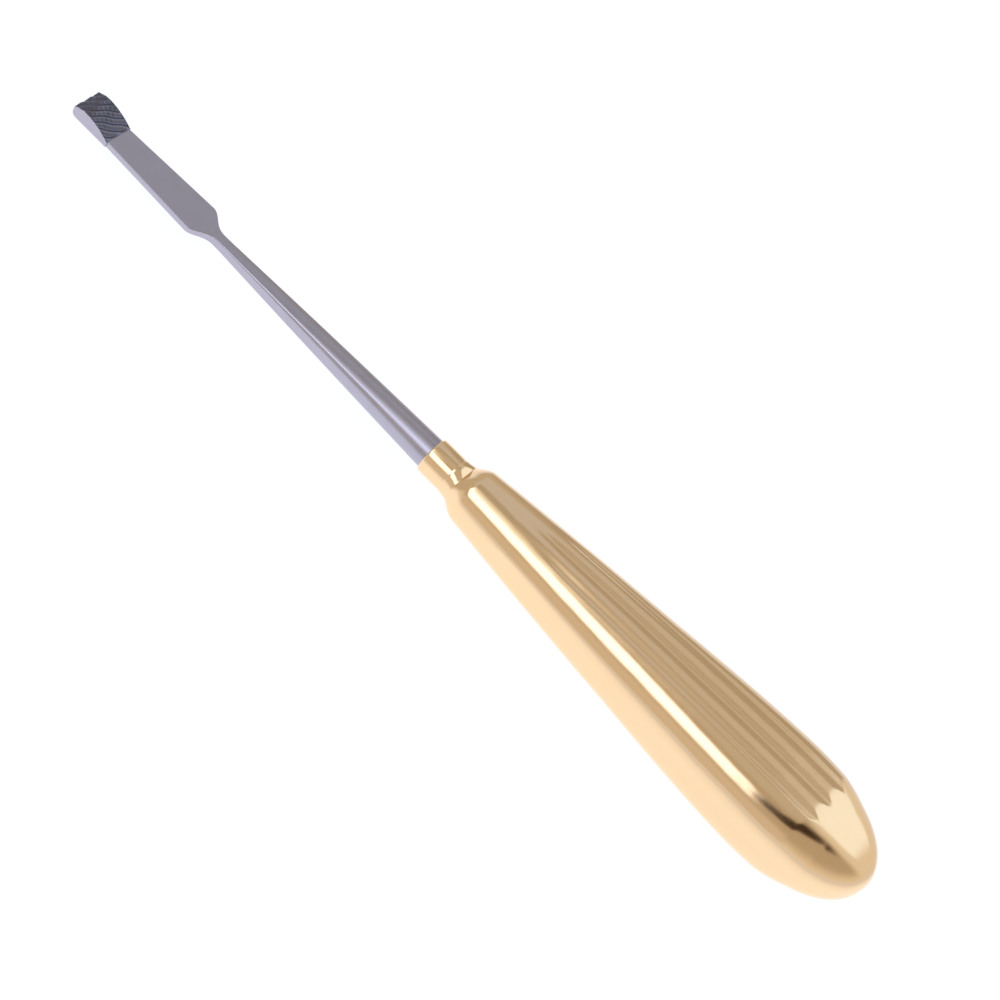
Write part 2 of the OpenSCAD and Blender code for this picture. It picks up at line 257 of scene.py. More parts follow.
class Grip:
    """Shape of the grip as functions of the place x along the axis and of a ray across it."""

    def __init__(self, h, at):
        self.h, self.at = h, at
        self.flute_step = h.flute_pitch / (h.grip_thickness / 2)

    def swell(self, front, belly, x):
        """The belly size less a power of the distance ahead of the belly, down to the front size."""
        ahead = np.maximum(0, (self.at.belly - x) / (self.at.belly - self.at.grip_start))
        return belly - (belly - front) * ahead**TAPER_POWER

    def waisted(self, size, x):
        """From the barrel down to the waist by a quarter cosine, and up to full size by a quarter sine."""
        h, at = self.h, self.at
        down = 1 - np.cos(np.pi / 2 * np.clip((x - at.barrel_end) / h.waist_length, 0, 1))
        up = np.sin(np.pi / 2 * np.clip((x - at.grip_start) / h.front_rounding, 0, 1))
        collar = mix(h.collar_end_d / 2, h.waist_thickness / 2, down)
        return np.where(x < at.grip_start, collar, mix(h.waist_thickness / 2, size, up))

    def swept(self, size, x):
        """From the barrel to the full size in one smooth rise, so that the sides have no waist."""
        rise = ease(self.at.barrel_end, self.at.grip_start + self.h.front_rounding, x)
        return mix(self.h.collar_end_d / 2, size, rise)

    def half_width(self, x):
        """Swell of the width, closed at the butt by a superellipse."""
        u = np.maximum(0, (x - self.at.belly) / self.h.belly_from_butt)
        size = self.swell(self.h.grip_front_d / 2, self.h.grip_width / 2, x)
        return self.swept(size, x) * np.sqrt(np.maximum(0, 1 - u**PLAN_POWER))

    def ridge_height(self, x):
        """Swell of the thickness, as if the butt weren't rounded."""
        return self.waisted(self.swell(self.h.grip_front_d / 2, self.h.grip_thickness / 2, x), x)

    def half_thickness(self, x):
        """The ridges' height, closed at the butt by a blunter superellipse."""
        u = np.maximum(0, (x - self.at.fall) / self.h.fall_from_butt)
        return self.ridge_height(x) * np.maximum(0, 1 - u**FALL_POWER) ** (1 / FALL_ROOT)

    def edge_round(self, x):
        """Radius of the long edges: a full round at the front, fading to the edge radius."""
        least = np.minimum(self.half_width(x), self.half_thickness(x)) * (1 - LEAST_FLAT)
        start = self.at.grip_start + ROUND_FRONT
        wide = mix(least, self.h.edge_radius, ease(start, start + ROUND_FADE, x))
        return np.minimum(least, np.maximum(wide, self.h.edge_radius))

    def reach(self, x, dy, dz):
        """Length of a ray to a rounded rectangle: to its flat top, its flat side or its round corner."""
        a, b, r = self.half_width(x), self.half_thickness(x), self.edge_round(x)
        y, z = np.abs(dy), np.abs(dz)
        top, side = b / np.maximum(z, TINY), a / np.maximum(y, TINY)
        along = y * (a - r) + z * (b - r)
        off = (a - r) ** 2 + (b - r) ** 2 - r * r
        corner = along + np.sqrt(np.maximum(0, along * along - off))
        return np.where(top * y <= a - r, top, np.where(side * z <= b - r, side, corner))

    def flute_cut(self, x, slope):
        """Flute depth: a cosine to the fourth power, less what the rounded butt has already lost."""
        step = self.flute_step
        wave = np.cos(np.pi * (slope / step - np.round(slope / step))) ** 4
        wave = np.where(np.abs(slope) > LAST_RIDGE * step, 0, wave)
        full = self.h.flute_depth * wave * self.fluted(x, slope)
        return np.maximum(0, full - (self.ridge_height(x) - self.half_thickness(x)))

    def fluted(self, x, slope):
        """Rise of the flutes from their front ends, later by the square of the distance from the middle."""
        outward = np.minimum(1, (slope / (2 * self.flute_step)) ** 2)
        start = self.at.grip_start + self.h.flute_start + self.h.flute_arc * outward
        return ease(start, start + FLUTE_FADE, x)

    def hollow_cut(self, x, z):
        """Side hollow: a cosine squared over the height, begun along an arch, faded out past the belly."""
        h, at = self.h, self.at
        half_height = np.maximum(SMALL, self.half_thickness(x) - HOLLOW_TOP * h.edge_radius)
        share = np.minimum(1, np.abs(z) / half_height)
        start = at.grip_start + h.side_hollow_start + HOLLOW_FADE * share * share
        along = ease(start, start + HOLLOW_FADE, x) * (1 - ease(at.belly, at.butt_end, x))
        return h.side_hollow * np.cos(np.pi / 2 * share) ** 2 * along

    def surface(self, x, dy, dz):
        """Where the rays (dy, dz) at the places x meet the grip, less its flutes and its side hollow."""
        t = self.reach(x, dy, dz)
        slope = dy / np.maximum(np.abs(dz), TINY)
        y, z = t * dy, t * dz
        y_cut = np.sign(y) * self.hollow_cut(x, z)
        z_cut = np.sign(z) * self.flute_cut(x, slope)
        return np.stack(np.broadcast_arrays(x, y - y_cut, z - z_cut), -1)


def rest_turn(h, s):
    """The rest position as a turn and a shift: the tilt is the slope of the underside where it balances."""
    at = Places(h, s)
    grip = Grip(h, at)
    run = at.belly - at.grip_start
    ahead = (h.balance_from_butt - h.belly_from_butt) / run
    slope = (h.grip_thickness - h.grip_front_d) / 2 * TAPER_POWER / run * ahead ** (TAPER_POWER - 1)
    tilt = math.atan(slope)
    x = np.linspace(at.grip_start + SMALL, at.butt_end, REST_SAMPLES)
    height = float(np.max(grip.half_thickness(x) * math.cos(tilt) - x * math.sin(tilt)))
    turn = [[math.cos(tilt), 0, -math.sin(tilt)], [0, 1, 0], [math.sin(tilt), 0, math.cos(tilt)]]
    return np.array(turn), np.array([-(at.head_front + at.butt_end) / 2, 0, height])


def at_rest(turn, shift, *shapes):
    """Points in the tool's own axes, turned and shifted to the rest position."""
    return [np.asarray(points) @ turn.T + shift for points in shapes]


def handle_rays(step):
    """Rays round the handle: even steps of slope over a fluted face, even angles down a side."""
    over = np.arctan(stretches((LAST_RIDGE, -LAST_RIDGE, FACE_POINTS)) * step)
    side = np.pi / 2 - math.atan(LAST_RIDGE * step)
    down = stretches((side, -side, SIDE_POINTS))
    dy = np.concatenate([np.sin(over), -np.cos(down), np.sin(-over), np.cos(down)])
    dz = np.concatenate([np.cos(over), np.sin(down), -np.cos(over), np.sin(-down)])
    return dy, dz


def turned_profile(h, s, at):
    """Place and radius from the tang bore's end, out of the socket, to the collar's rear end.

    The bores are straight, the mouth is part of a circle and the barrel is a parabola.
    """
    bore, mouth = s.tang_d / 2 + h.braze_gap, s.shaft_d / 2 + h.braze_gap
    bore_end = s.socket_depth + s.tang_length + h.braze_gap
    inside = [(bore_end, bore), (s.socket_depth, bore), (s.socket_depth, mouth), (0.0, mouth)]
    turn = np.linspace(0, np.pi / 3, MOUTH_RINGS)
    edge_r = h.collar_end_d / 2 - h.collar_edge * (1 - np.sin(turn))
    edge = np.stack([h.collar_edge * (1 - np.cos(turn)), edge_r], -1)
    t = np.linspace(-1, 1, BARREL_RINGS)
    barrel_x = mix(h.collar_edge, at.barrel_end, (t + 1) / 2)
    barrel = np.stack([barrel_x, mix(h.collar_end_d, h.collar_d, 1 - t * t) / 2], -1)
    return np.concatenate([inside, edge, barrel])


def handle_rings(h, s):
    """Rings of the handle, its two poles and how fluted each point is.

    The turned profile is carried round the axis as circles, and the grip's surface follows it.
    """
    at = Places(h, s)
    grip = Grip(h, at)
    last = LAST_RIDGE * grip.flute_step
    dy, dz = handle_rays(grip.flute_step)
    turned = turned_profile(h, s, at)
    place, radius = turned[:, :1], turned[:, 1:]
    circles = np.stack(np.broadcast_arrays(place, radius * dy, radius * dz), -1)
    waist = np.linspace(at.barrel_end, at.grip_start, WAIST_RINGS)[1:]
    front = at.grip_start + h.front_rounding * np.linspace(0, 1, FRONT_RINGS)[1:] ** FRONT_CROWDING
    body = np.linspace(at.grip_start + h.front_rounding, at.belly, BODY_RINGS)[1:]
    butt = at.belly + h.belly_from_butt * np.sin(np.pi / 2 * np.linspace(0, 1, BUTT_RINGS)[1:-1])
    x = np.concatenate([waist, front, body, butt])[:, None]
    rings = np.concatenate([circles, grip.surface(x, dy, dz)])
    slope = dy / np.maximum(np.abs(dz), TINY)
    fluted = grip.fluted(x, slope) * (1 - ease(last, last * BRUSHED_END, np.abs(slope)))
    fluted = np.concatenate([np.zeros(circles.shape[:2]), fluted * (1 - ease(at.fall, at.butt_end, x))])
    return rings, (turned[0, 0], 0, 0), (at.butt_end, 0, 0), fluted


def tube_faces(count, around):
    """Quads between neighbouring rings, and triangles from the end rings to the poles after all the rings."""
    ring = np.arange(around)
    after = (ring + 1) % around
    rows = np.arange(count - 1)[:, None] * around
    corners = [rows + ring, rows + around + ring, rows + around + after, rows + after]
    first, last, tail = count * around, count * around + 1, (count - 1) * around
    start = np.stack([np.full(around, first), ring, after], -1)
    end = np.stack([np.full(around, last), tail + after, tail + ring], -1)
    return np.stack(corners, -1).reshape(-1, 4), np.concatenate([start, end])


def signed_volume(points, quads, caps):
    """Six times the volume: the triple products of all the triangles, below 0 where they face inwards."""
    triangles = np.concatenate([caps, quads[:, :3], quads[:, [0, 2, 3]]])
    a, b, c = (points[triangles[:, k]] for k in range(3))
    return np.einsum("ij,ij->", a, np.cross(b, c))


def closed_tube(name, rings, first, last, box, sharp):
    """A closed mesh through rings of points, with a pole at each end, kept inside a node's box."""
    points = np.concatenate([rings.reshape(-1, 3), [first, last]])
    points = np.clip(points, *(np.array(corner) for corner in box))
    quads, caps = tube_faces(*rings.shape[:2])
    corners = np.concatenate([quads.ravel(), caps.ravel()])
    sizes = np.concatenate([np.full(len(quads), 4), np.full(len(caps), 3)])
    starts = np.concatenate([[0], np.cumsum(sizes)[:-1]])
    mesh = bpy.data.meshes.new(name)
    mesh.vertices.add(len(points))
    mesh.vertices.foreach_set("co", points.astype(np.float32).ravel())
    mesh.loops.add(len(corners))
    mesh.loops.foreach_set("vertex_index", corners.astype(np.int32))
    mesh.polygons.add(len(sizes))
    mesh.polygons.foreach_set("loop_start", starts.astype(np.int32))
    mesh.update(calc_edges=True)
    mesh.validate()
    if signed_volume(points, quads, caps) < 0:
        mesh.flip_normals()
    mesh.shade_smooth()
    mesh.set_sharp_from_angle(angle=sharp)
    piece = bpy.data.objects.new(name, mesh)
    bpy.context.scene.collection.objects.link(piece)
    return piece


def point_attribute(piece, name, values):
    """Stores one number per vertex on a piece, for its material to read; the two poles come last."""
    attribute = piece.data.attributes.new(name, "FLOAT", "POINT")
    attribute.data.foreach_set("value", values.astype(np.float32))


def tooth_cut(x, y, s, at):
    """Depth of the teeth: a leaning cosine wave across slanted rows that sway, with a little notching.

    It eases out at the head's rear.
    """
    row = (x * np.cos(s.tooth_slant) - y * np.sin(s.tooth_slant)) / s.tooth_pitch
    t = row + ROW_WAVE * np.sin(2 * np.pi * (ROW_WAVES * y / s.head_width + row / 3))
    wave = 0.5 + 0.5 * np.cos(2 * np.pi * (t - np.floor(t)) ** TOOTH_LEAN)
    notch = np.sin(np.pi * (y + x / 3) / s.notch_pitch) ** 2
    rear = ease(0, s.tooth_pitch / 2, at.head_rear - x)
    return s.tooth_depth * rear * mix(wave, notch, NOTCH_SHARE)


class SteelSection:
    """A walk round the steel: over the top, down one flank, under it and up the other flank."""

    def __init__(self, edge):
        top, corner, side, under = TOP_POINTS, CORNER_POINTS, FLANK_POINTS, UNDER_POINTS
        flank = 2 * corner + side
        self.edge = edge
        self.across = stretches((1, -1, top), (-1, -1, flank), (-1, 1, under), (1, 1, flank))
        self.upward = stretches(
            (1, 1, top + corner), (1, -1, side), (-1, -1, under + 2 * corner), (-1, 1, side), (1, 1, corner)
        )
        over = [(90, 90, top), (90, 180, corner), (180, 180, side), (180, 270, corner)]
        below = [(270, 270, under), (270, 360, corner), (0, 0, side), (0, 90, corner)]
        self.normal = np.radians(stretches(*over, *below))
        circle = stretches((48, 132, top), (132, 222, flank), (222, 318, under), (318, 408, flank))
        self.circle = np.radians(circle)

    def rings(self, x, half, low, high, roundness):
        """Rings at the places x: a mix, by roundness, of a rectangle with rounded edges and an ellipse."""
        sizes = (x, half, low, high, roundness)
        x, half, low, high, roundness = (np.broadcast_to(size, x.shape)[:, None] for size in sizes)
        tall, edge = (high - low) / 2, np.minimum(self.edge, EDGE_SHARE * (high - low))
        square_y = (half - edge) * self.across + edge * np.cos(self.normal)
        square_z = (tall - edge) * self.upward + edge * np.sin(self.normal)
        y = mix(square_y, half * np.cos(self.circle), roundness)
        z = mix(square_z, tall * np.sin(self.circle), roundness)
        return np.stack(np.broadcast_arrays(x, y, (low + high) / 2 + z), -1)


def head_rings(section, s, at):
    """Rings of the toothed head, the uncut share and the toothed face at each point, and its front pole.

    The top climbs to the crest by a quarter sine and falls behind it by a parabola. The lower
    front edge is a quarter circle.
    """
    x = np.linspace(at.head_front, at.head_rear, HEAD_RINGS)
    from_front = x - at.head_front
    nose = np.maximum(0, s.nose_radius - from_front)
    lift = s.nose_radius - np.sqrt(np.maximum(0, s.nose_radius**2 - nose**2))
    climb = np.sin(np.pi / 2 * np.minimum(1, from_front / s.crest_setback))
    behind = (x - at.crest) / (at.head_rear - at.crest)
    rise = mix(s.nose_height, s.head_height, climb)
    fall = mix(s.blade_thickness, s.head_height, 1 - behind**2)
    top = s.blade_rise + np.where(x < at.crest, rise, fall)
    rings = section.rings(x, s.head_width / 2, s.blade_rise + lift, top, 0.0)
    facing_up = np.maximum(0, np.sin(section.normal))
    depth = tooth_cut(rings[..., 0], rings[..., 1], s, at) * facing_up
    rings[..., 2] -= depth
    face = np.broadcast_to(facing_up > 0.5, depth.shape)
    pole = (at.head_front, 0, (s.blade_rise + s.nose_radius + top[0]) / 2)
    return rings, 1 - depth / s.tooth_depth, face, pole


def shaft_rings(section, s, at):
    """Rings of the blade, its shoulders and the tapered shaft.

    The blade widens in a straight line and the shoulders narrow by a power. From the neck the
    section grows in a straight line to the full circle.
    """
    blade_part = np.linspace(at.head_rear + HEAD_JOIN, at.shoulder, BLADE_RINGS)
    shoulder_part = np.linspace(at.shoulder, at.neck, SHOULDER_RINGS)[1:]
    shaft_part = np.linspace(at.neck, -MOUTH_JOIN, SHAFT_RINGS)[1:]
    x = np.concatenate([blade_part, shoulder_part, shaft_part])
    ahead = x < at.neck
    t = np.clip((x - at.shoulder) / s.shoulder_length, 0, 1)
    along = np.clip((x - at.neck) / s.shaft_length, 0, 1)
    narrowing = ease(at.shoulder, at.neck, x)

    blade = mix(s.blade_front_width, s.blade_width, (x - at.head_rear) / s.blade_length)
    shoulders = mix(s.blade_width, s.neck_width, 1 - (1 - t * t) ** SHOULDER_POWER)
    width = np.where(x < at.shoulder, blade, shoulders)
    half = np.where(ahead, width, mix(s.neck_width, s.shaft_d, along)) / 2

    blade_top = s.blade_rise + s.blade_thickness
    neck_low = blade_top - s.neck_thickness
    high = np.where(ahead, blade_top, mix(blade_top, s.shaft_d / 2, along))
    low = np.where(ahead, mix(s.blade_rise, neck_low, narrowing), mix(neck_low, -s.shaft_d / 2, along))
    rounded = along**SHAFT_ROUND_POWER
    roundness = np.where(ahead, 0, rounded) + NECK_ROUNDNESS * narrowing * (1 - rounded)
    return section.rings(x, half, low, high, roundness)


def tang_rings(section, s):
    """Rings of the round end in the socket and of the tang, with a crisp step between them."""
    step = s.socket_depth
    x = np.array([0.0, step - SMALL, step, step, step + SMALL, step + s.tang_length])
    radius = np.repeat([s.shaft_d / 2, s.tang_d / 2], 3)
    return section.rings(x, radius, -radius, radius, 1.0)


def steel_rings(h, s):
    """Rings of the steel from the head's front to the tang's end, its poles and its two attributes."""
    at = Places(h, s)
    section = SteelSection(s.blade_edge)
    head, uncut, face, front = head_rings(section, s, at)
    rest = np.concatenate([shaft_rings(section, s, at), tang_rings(section, s)])
    height = np.concatenate([uncut, np.ones(rest.shape[:2])])
    face = np.concatenate([face, np.zeros(rest.shape[:2])])
    return np.concatenate([head, rest]), front, (rest[-1, 0, 0], 0, 0), height, face


class Sum:
    """A node's output; its operators add Math nodes, so that shader maths reads as maths."""

    def __init__(self, web, socket):
        self.web, self.socket = web, socket

    def __add__(self, other):
        return self.web.math("ADD", self, other)

    def __sub__(self, other):
        return self.web.math("SUBTRACT", self, other)

    def __rsub__(self, other):
        return self.web.math("SUBTRACT", other, self)

    def __mul__(self, other):
        return self.web.math("MULTIPLY", self, other)

    def __truediv__(self, other):
        return self.web.math("DIVIDE", self, other)

    def __rtruediv__(self, other):
        return self.web.math("DIVIDE", other, self)

    def __pow__(self, other):
        return self.web.math("POWER", self, other)

    __radd__, __rmul__ = __add__, __mul__

    def clamp(self):
        """The value held between 0 and 1."""
        return self.web.add("ShaderNodeClamp", {}, {"Value": self})

    def ramp(self, start, end):
        """A smooth rise from 0 at start to 1 at end."""
        return self.web.add(
            "ShaderNodeMapRange",
            {"interpolation_type": "SMOOTHSTEP"},
            {"Value": self, "From Min": start, "From Max": end},
        )


class Web:
    """The nodes of one material or world."""

    def __init__(self, owner):
        owner.use_nodes = True
        self.tree = owner.node_tree
        self.tree.nodes.clear()

    def add(self, kind, settings=None, inputs=None, output=0):
        """Makes a node, sets its settings first, then fills or links its sockets, and gives one output."""
        node = self.tree.nodes.new(kind)
        for key, value in (settings or {}).items():
            setattr(node, key, value)
        for key, value in (inputs or {}).items():
            if isinstance(value, Sum):
                self.tree.links.new(value.socket, node.inputs[key])
            else:
                node.inputs[key].default_value = value
        return Sum(self, node.outputs[output]) if node.outputs else node

    def outputs(self, names, kind, inputs=None):
        """Makes a node and gives each of the outputs named."""
        node = self.add(kind, {}, inputs).socket.node
        return [Sum(self, node.outputs[name]) for name in names]

    def math(self, operation, *values):
        """A Math node on the values or outputs, in their order."""
        return self.add("ShaderNodeMath", {"operation": operation}, dict(enumerate(values)))

    def blend(self, share, a, b):
        """The colour a share of the way from a to b."""
        return self.add("ShaderNodeMix", {"data_type": "RGBA"}, {0: share, 6: a, 7: b}, 2)

    def noise(self, place, scale, detail=2.0, roughness=0.5):
        """Smooth noise, around one half, in waves per metre."""
        values = {"Vector": place, "Scale": scale, "Detail": detail, "Roughness": roughness}
        return self.add("ShaderNodeTexNoise", {}, values)

    def attribute(self, name):
        """The number that a piece stores at each point."""
        return self.add("ShaderNodeAttribute", {"attribute_name": name}, output="Fac")

    def along_tool(self, tilt, stretch=(1, 1, 1)):
        """Object coordinates turned back to the tool's axis and stretched."""
        place = self.add("ShaderNodeTexCoord", output="Object")
        turned = {"Vector": place, "Rotation": (0, tilt, 0), "Scale": stretch}
        return self.add("ShaderNodeMapping", {}, turned)

    def metal(self, tone, roughness, normal):
        """Bare metal as the material's surface."""
        values = {"Base Color": tone, "Metallic": 1.0, "Roughness": roughness, "Normal": normal}
        shader = self.add("ShaderNodeBsdfPrincipled", {}, values)
        self.add("ShaderNodeOutputMaterial", {}, {"Surface": shader})

    def seen_directly(self):
        """1 for a ray from the camera, a mirror or a clear material, 0 for light on a dull surface."""
        rays = ("Is Camera Ray", "Is Glossy Ray", "Is Transmission Ray")
        camera, glossy, clear = self.outputs(rays, "ShaderNodeLightPath")
        return (camera + glossy + clear).clamp()


def opaque(values):
    """A colour of three numbers with a full alpha."""
    return (*values, 1.0)


def gold_material(finish, tilt):
    """Polished gilding: clear, with a faint swell in its surface, fine hairlines and thin smears."""
    material = bpy.data.materials.new("polished_gilding")
    web = Web(material)
    place = web.along_tool(tilt)
    lengthwise = web.along_tool(tilt, (0.06, 1, 1))
    swell = web.noise(place, GOLD_SWELL, 1.0)
    hairs = web.noise(lengthwise, GOLD_HAIRS, 3.0, 0.65)
    smear = web.noise(place, GOLD_SMEAR, 4.0, 0.6).ramp(0.45, 0.75)
    fluted = web.attribute("fluted")
    brushed = (0.02 + 0.05 * fluted) * hairs.ramp(0.35, 0.7)
    roughness = finish.gold_roughness + 0.03 * smear + brushed + 0.05 * fluted
    warmer = np.array(finish.gold) * (0.97, 0.95, 0.88)
    tone = web.blend(web.noise(place, GOLD_TONE) * 0.35, opaque(finish.gold), opaque(warmer))
    broad = web.add("ShaderNodeBump", {}, {"Strength": 0.25, "Distance": 0.0004, "Height": swell})
    fine = {"Strength": 0.05, "Distance": 0.00002, "Height": hairs, "Normal": broad}
    web.metal(tone, roughness, web.add("ShaderNodeBump", {}, fine))
    return material


def steel_material(finish, tilt):
    """Satin steel with a fine blasted grain, and a darker toothed face with painted highlights on its tooth
    tips.
    """
    material = bpy.data.materials.new("satin_steel")
    web = Web(material)
    place = web.along_tool(tilt)
    grain = web.noise(place, STEEL_GRAIN, 2.0, 0.7)
    cloud = web.noise(place, STEEL_CLOUD, 3.0, 0.55)
    face = web.attribute("toothed_face")
    height = web.attribute("tooth_height")
    steel, dark = np.array(finish.steel), np.array(finish.teeth)
    plain = web.blend(cloud, opaque(steel * 0.93), opaque(np.minimum(1, steel * 1.06)))
    # Painted highlights on the teeth: lighter towards their crests, and the steel's own colour in spots on
    # them
    glint_spots = web.noise(place, STEEL_GLINTS, 1.0).ramp(0.62, 0.7)
    tip_highlight = height.ramp(0.3, 1.0) * 0.16 + height.ramp(0.8, 1.0) * glint_spots
    stain = web.noise(place, STEEL_STAIN).ramp(0.35, 0.65)
    teeth = web.blend(stain, opaque(dark), opaque(dark * (0.85, 1.0, 0.95)))
    tone = web.blend(face, plain, web.blend(tip_highlight, teeth, opaque(steel * 0.8)))
    roughness = finish.steel_roughness + 0.06 * cloud - 0.04 * face
    bump = web.add("ShaderNodeBump", {}, {"Strength": 0.12, "Distance": 0.00003, "Height": grain})
    web.metal(tone, roughness, bump)
    return material


def floor_material():
    """White paper: it glows for what sees it, and a diffuse share keeps the tool's shadow.

    In the metal it is brighter near the tool and dimmer far from it.
    """
    material = bpy.data.materials.new("white_paper")
    web = Web(material)
    place = web.add("ShaderNodeTexCoord", output="Object")
    x, y = web.outputs("XY", "ShaderNodeSeparateXYZ", {0: place})
    beyond = web.math("MAXIMUM", web.math("ABSOLUTE", x) - TOOL_HALF, 0.0)
    away = (beyond * beyond + y * y) ** 0.5
    (mirrored,) = web.outputs(["Is Glossy Ray"], "ShaderNodeLightPath")
    level = 1.14 + mirrored * (0.14 - 0.46 * away.ramp(0.005, 0.085))
    shade = web.add("ShaderNodeVectorMath", {"operation": "SCALE"}, {0: PAPER_GLOW, "Scale": level})
    glow = web.add("ShaderNodeEmission", {}, {"Color": shade})
    paper = web.add("ShaderNodeBsdfDiffuse", {}, {"Color": opaque(PAPER_COLOUR)})
    mixed = web.add("ShaderNodeMixShader", {}, {0: web.seen_directly() * 0.8, 1: paper, 2: glow})
    web.add("ShaderNodeOutputMaterial", {}, {"Surface": mixed})
    return material


def tent_material(studio):
    """The tent's wall: a glow by direction, laid down zone by zone, each one over those before it.

    Its sky map is flat, with the zenith in the middle and one unit for each degree from it.
    """
    material = bpy.data.materials.new("tent_cloth")
    web = Web(material)
    place = web.add("ShaderNodeTexCoord", output="Object")
    unit = web.add("ShaderNodeVectorMath", {"operation": "NORMALIZE"}, {0: place})
    x, y, z = web.outputs("XYZ", "ShaderNodeSeparateXYZ", {0: unit})
    height = web.math("ARCSINE", z) * math.degrees(1)
    around = web.math("ARCTAN2", y, x) * math.degrees(1)
    flat = (x * x + y * y) ** 0.5 + 0.0001
    map_x, map_y = (90 - height) * x / flat, (90 - height) * y / flat

    def panel(az, el, wide, high, soft):
        """A rectangle in azimuth and elevation with soft edges: the product of two smooth steps."""
        off = web.math("ABSOLUTE", web.math("WRAP", around - az, 180.0, -180.0))
        up = web.math("ABSOLUTE", height - el)
        return (1 - off.ramp(wide - soft, wide + soft)) * (1 - up.ramp(high - soft, high + soft))

    def patch(az, el, long, wide, turn, soft):
        """A soft ellipse on the sky map: the root of the sum of two squares, past a smooth step."""
        turn, az = math.radians(turn), math.radians(az)
        off_x, off_y = map_x - (90 - el) * math.cos(az), map_y - (90 - el) * math.sin(az)
        u = (off_x * math.cos(turn) + off_y * math.sin(turn)) / long
        w = (off_y * math.cos(turn) - off_x * math.sin(turn)) / wide
        return 1 - ((u * u + w * w) ** 0.5).ramp(1 - soft, 1 + soft)

    key = studio.key_strength
    zones = [
        # The wall grows duller up to 30 degrees
        (height.ramp(0, 30), (0.50, 0.44, 0.36)),
        # Low wall on the camera's side
        (panel(-103, 10, 30, 18, 8), (0.68, 0.62, 0.55)),
        # Pale wall on the far side towards the butt, with a bright sheet high on it
        (panel(45, 20, 34, 46, 10), (0.80, 0.77, 0.73)),
        (patch(60, 45, 21, 17, 0, 0.2), (1.06, 1.18, 1.34)),
        # Dull wall on the far side towards the head, with a paler strip and a dull roof above it
        (panel(129, 30, 50, 60, 3), (0.45, 0.41, 0.35)),
        (panel(90, 49, 12, 6, 4), (0.63, 0.61, 0.58)),
        (patch(90, 88, 16, 16, 0, 0.4), (0.57, 0.54, 0.49)),
        # Wall past the head, with a cool strip above it
        (panel(150, 28, 48, 34, 3), (0.56, 0.51, 0.44)),
        (panel(136, 50, 36, 13, 6), (0.60, 0.61, 0.66)),
        # Softbox on the head's side of the camera, below its pale upper edge
        (panel(-150, 62, 24, 9, 7), (1.1, 1.12, 1.15)),
        (panel(-128, 48, 37, 13, 4.5), (key * 0.97, key, key * 1.15)),
        # Dark gap on the butt's side of the camera
        (patch(-46, 60.6, 29, 9.5, 51.5, 0.2), (0.05, 0.03, 0.02)),
    ]
    tone = opaque(TENT_BASE)
    for share, shade in zones:
        tone = web.blend(share, tone, opaque(shade))
    pattern = web.add("ShaderNodeEmission", {}, {"Color": tone})
    dull = web.add("ShaderNodeEmission", {}, {"Color": opaque(TENT_DULL)})
    glow = web.add("ShaderNodeMixShader", {}, {0: web.seen_directly(), 1: dull, 2: pattern})
    web.add("ShaderNodeOutputMaterial", {}, {"Surface": glow})
    material.cycles.emission_sampling = "NONE"
    return material


def plain_grid(name, points):
    """An open mesh from a grid of points."""
    rows, columns = points.shape[:2]
    index = np.arange(rows * columns).reshape(rows, columns)
    quads = np.stack([index[:-1, :-1], index[1:, :-1], index[1:, 1:], index[:-1, 1:]], -1).reshape(-1, 4)
    mesh = bpy.data.meshes.new(name)
    mesh.from_pydata(points.reshape(-1, 3).tolist(), [], quads.tolist())
    piece = bpy.data.objects.new(name, mesh)
    bpy.context.scene.collection.objects.link(piece)
    return piece


def paper_floor():
    """A flat square of paper at height 0."""
    edge = np.linspace(-FLOOR_HALF, FLOOR_HALF, 3)
    x, y = np.meshgrid(edge, edge, indexing="ij")
    floor = plain_grid("paper_floor", np.stack([x, y, np.zeros_like(x)], -1))
    floor.data.materials.append(floor_material())
    return floor


def light_tent(studio):
    """A dome from just under the floor to the zenith: a point for each azimuth and elevation."""
    azimuths = np.linspace(0, 2 * np.pi, TENT_SIDES + 1)
    elevations = np.linspace(TENT_FOOT, np.pi / 2, TENT_ROWS + 1)
    around, up = np.meshgrid(azimuths, elevations, indexing="ij")
    wall = np.stack([np.cos(around) * np.cos(up), np.sin(around) * np.cos(up), np.sin(up)], -1)
    tent = plain_grid("light_tent", wall * studio.tent_radius)
    tent.data.materials.append(tent_material(studio))
    tent.visible_camera = False
    return tent


def studio_world():
    """A white world, dimmer where it only lights dull surfaces."""
    world = bpy.data.worlds.new("studio_world")
    web = Web(world)
    glow = web.add("ShaderNodeBackground", {}, {"Color": WORLD_DULL + (1 - WORLD_DULL) * web.seen_directly()})
    web.add("ShaderNodeOutputWorld", {}, {"Surface": glow})
    return world


def studio_camera(studio, turn, shift):
    """A camera on a sphere round its aim, rolled about its line of sight and carried to the rest position."""
    a, e, roll = studio.azimuth, studio.elevation, studio.roll
    back = np.array([math.sin(a) * math.cos(e), -math.cos(a) * math.cos(e), math.sin(e)])
    right = np.cross(-back, [0, 0, 1])
    right /= np.linalg.norm(right)
    up = np.cross(back, right)
    place = np.array(AIM) + studio.distance * back
    rolled_right = right * math.cos(roll) + up * math.sin(roll)
    rolled_up = up * math.cos(roll) - right * math.sin(roll)
    matrix = np.eye(4)
    matrix[:3, :3] = turn @ np.array([rolled_right, rolled_up, back]).T
    matrix[:3, 3] = turn @ place + shift
    data = bpy.data.cameras.new("camera")
    data.lens, data.sensor_width = studio.lens, SENSOR_WIDTH
    data.clip_start, data.clip_end = VIEW_START, VIEW_END
    camera = bpy.data.objects.new("camera", data)
    bpy.context.scene.collection.objects.link(camera)
    camera.matrix_world = Matrix(matrix.tolist())
    return camera


